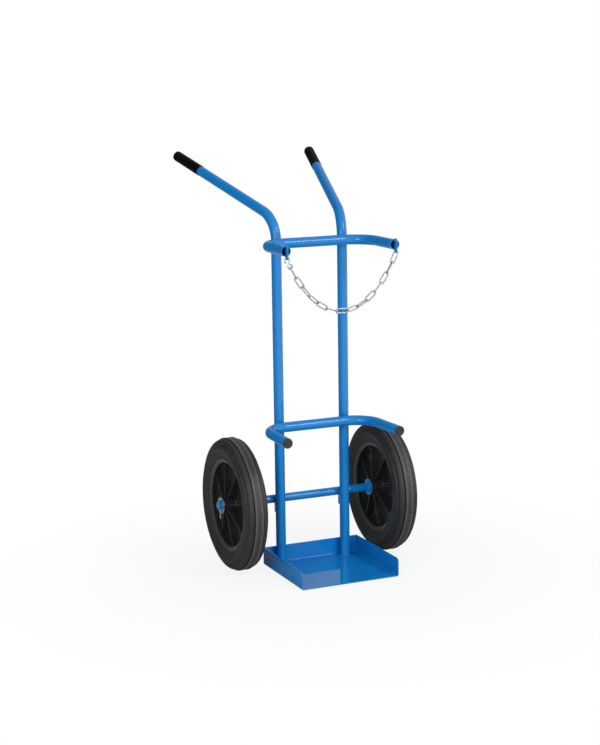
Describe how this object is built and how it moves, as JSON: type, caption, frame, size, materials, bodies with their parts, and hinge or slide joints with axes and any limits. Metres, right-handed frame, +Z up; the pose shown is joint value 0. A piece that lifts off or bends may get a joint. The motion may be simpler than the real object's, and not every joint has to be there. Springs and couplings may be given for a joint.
{
  "type": "gas cylinder cart",
  "caption": "Two-wheeled gas cylinder cart: bent tube frame with splayed handles, open tube cradles, folded tray, solid rubber wheels on an axle and a retaining chain.",
  "frame": {"origin": "centre of the tray's flat underside", "axes": "+Z up along the uprights, -Y towards the open front of the cradles, +X to the right as seen from the front"},
  "size_m": [0.5956, 0.772, 1.2268],
  "materials": {
    "blue_paint": "glossy blue paint on steel",
    "black_plastic": "soft black vinyl",
    "wheel_plastic": "satin black moulding",
    "tyre_rubber": "matt black rubber, dusty on the tread",
    "bush_plastic": "plain light plastic",
    "zinc_plate": "bright zinc plate on steel"
  },
  "bodies": {
    "frame": {"base_tray": "blue_paint", "left_upright": "blue_paint", "right_upright": "blue_paint", "lower_cradle": "blue_paint", "upper_cradle": "blue_paint", "axle": "blue_paint", "left_chain_lug": "blue_paint", "right_chain_lug": "blue_paint", "left_axle_saddle": "blue_paint", "right_axle_saddle": "blue_paint", "left_stop_collar": "blue_paint", "right_stop_collar": "blue_paint", "left_grip": "black_plastic", "right_grip": "black_plastic", "left_cradle_plug": "black_plastic", "right_cradle_plug": "black_plastic", "left_hub_washer": "zinc_plate", "right_hub_washer": "zinc_plate", "left_split_pin": "zinc_plate", "right_split_pin": "zinc_plate"},
    "left_wheel": {"left_tyre": "tyre_rubber", "left_rim": "wheel_plastic", "left_inner_bush": "bush_plastic", "left_outer_bush": "bush_plastic"},
    "right_wheel": {"right_tyre": "tyre_rubber", "right_rim": "wheel_plastic", "right_inner_bush": "bush_plastic", "right_outer_bush": "bush_plastic"},
    "chain": {"chain_hook": "zinc_plate", "chain_link_01": "zinc_plate", "chain_link_02": "zinc_plate", "chain_link_03": "zinc_plate", "chain_link_04": "zinc_plate", "chain_link_05": "zinc_plate", "chain_link_06": "zinc_plate", "chain_link_07": "zinc_plate", "chain_link_08": "zinc_plate", "chain_link_09": "zinc_plate", "chain_link_10": "zinc_plate", "chain_link_11": "zinc_plate", "chain_link_12": "zinc_plate", "chain_link_13": "zinc_plate", "chain_link_14": "zinc_plate"}
  },
  "joints": [
    {"name": "left_wheel_spin", "type": "hinge", "parent": "frame", "child": "left_wheel", "pos_m": [-0.2444, 0.1505, 0.2], "axis": [1, 0, 0], "continuous": true},
    {"name": "right_wheel_spin", "type": "hinge", "parent": "frame", "child": "right_wheel", "pos_m": [0.2444, 0.1505, 0.2], "axis": [1, 0, 0], "continuous": true},
    {"name": "chain_swing", "type": "hinge", "parent": "frame", "child": "chain", "pos_m": [0, -0.1053, 0.9607], "axis": [1, 0, 0], "range_deg": [-75, 75]}
  ]
}
